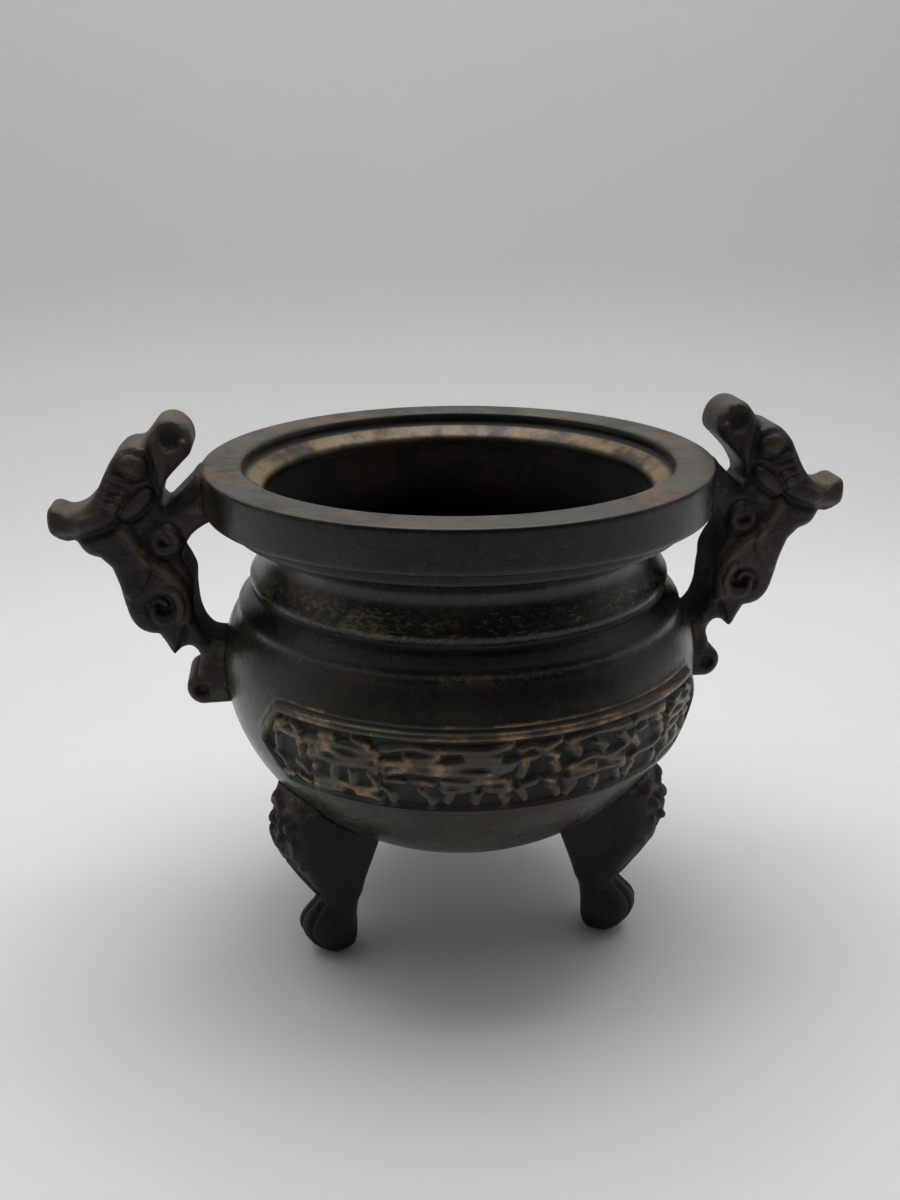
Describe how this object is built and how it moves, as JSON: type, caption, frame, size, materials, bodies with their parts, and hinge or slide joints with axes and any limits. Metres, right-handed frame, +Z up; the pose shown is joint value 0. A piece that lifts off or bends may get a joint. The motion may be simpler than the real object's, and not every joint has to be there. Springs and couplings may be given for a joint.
{
  "type": "censer",
  "caption": "Open cast bowl on short masked legs, with a flat rim, waisted neck, upright beast-head handles and a long raised panel of strokes, for burning incense.",
  "frame": {"origin": "on the floor under the bowl's axis", "axes": "+X towards the right handle, +Y away from the panel, +Z up along the bowl's axis"},
  "size_m": [0.171, 0.108, 0.1191],
  "materials": {
    "bowl_bronze": "dark olive-black patina, satin, worn to copper on the ridges",
    "handle_bronze": "brown-black patina, satin, tan where rubbed",
    "leg_bronze": "brown-black patina, satin"
  },
  "bodies": {
    "root": {"bowl": "bowl_bronze", "handle_right": "handle_bronze", "handle_left": "handle_bronze", "foot_front_left": "leg_bronze", "foot_front_right": "leg_bronze", "foot_back": "leg_bronze"}
  },
  "joints": []
}
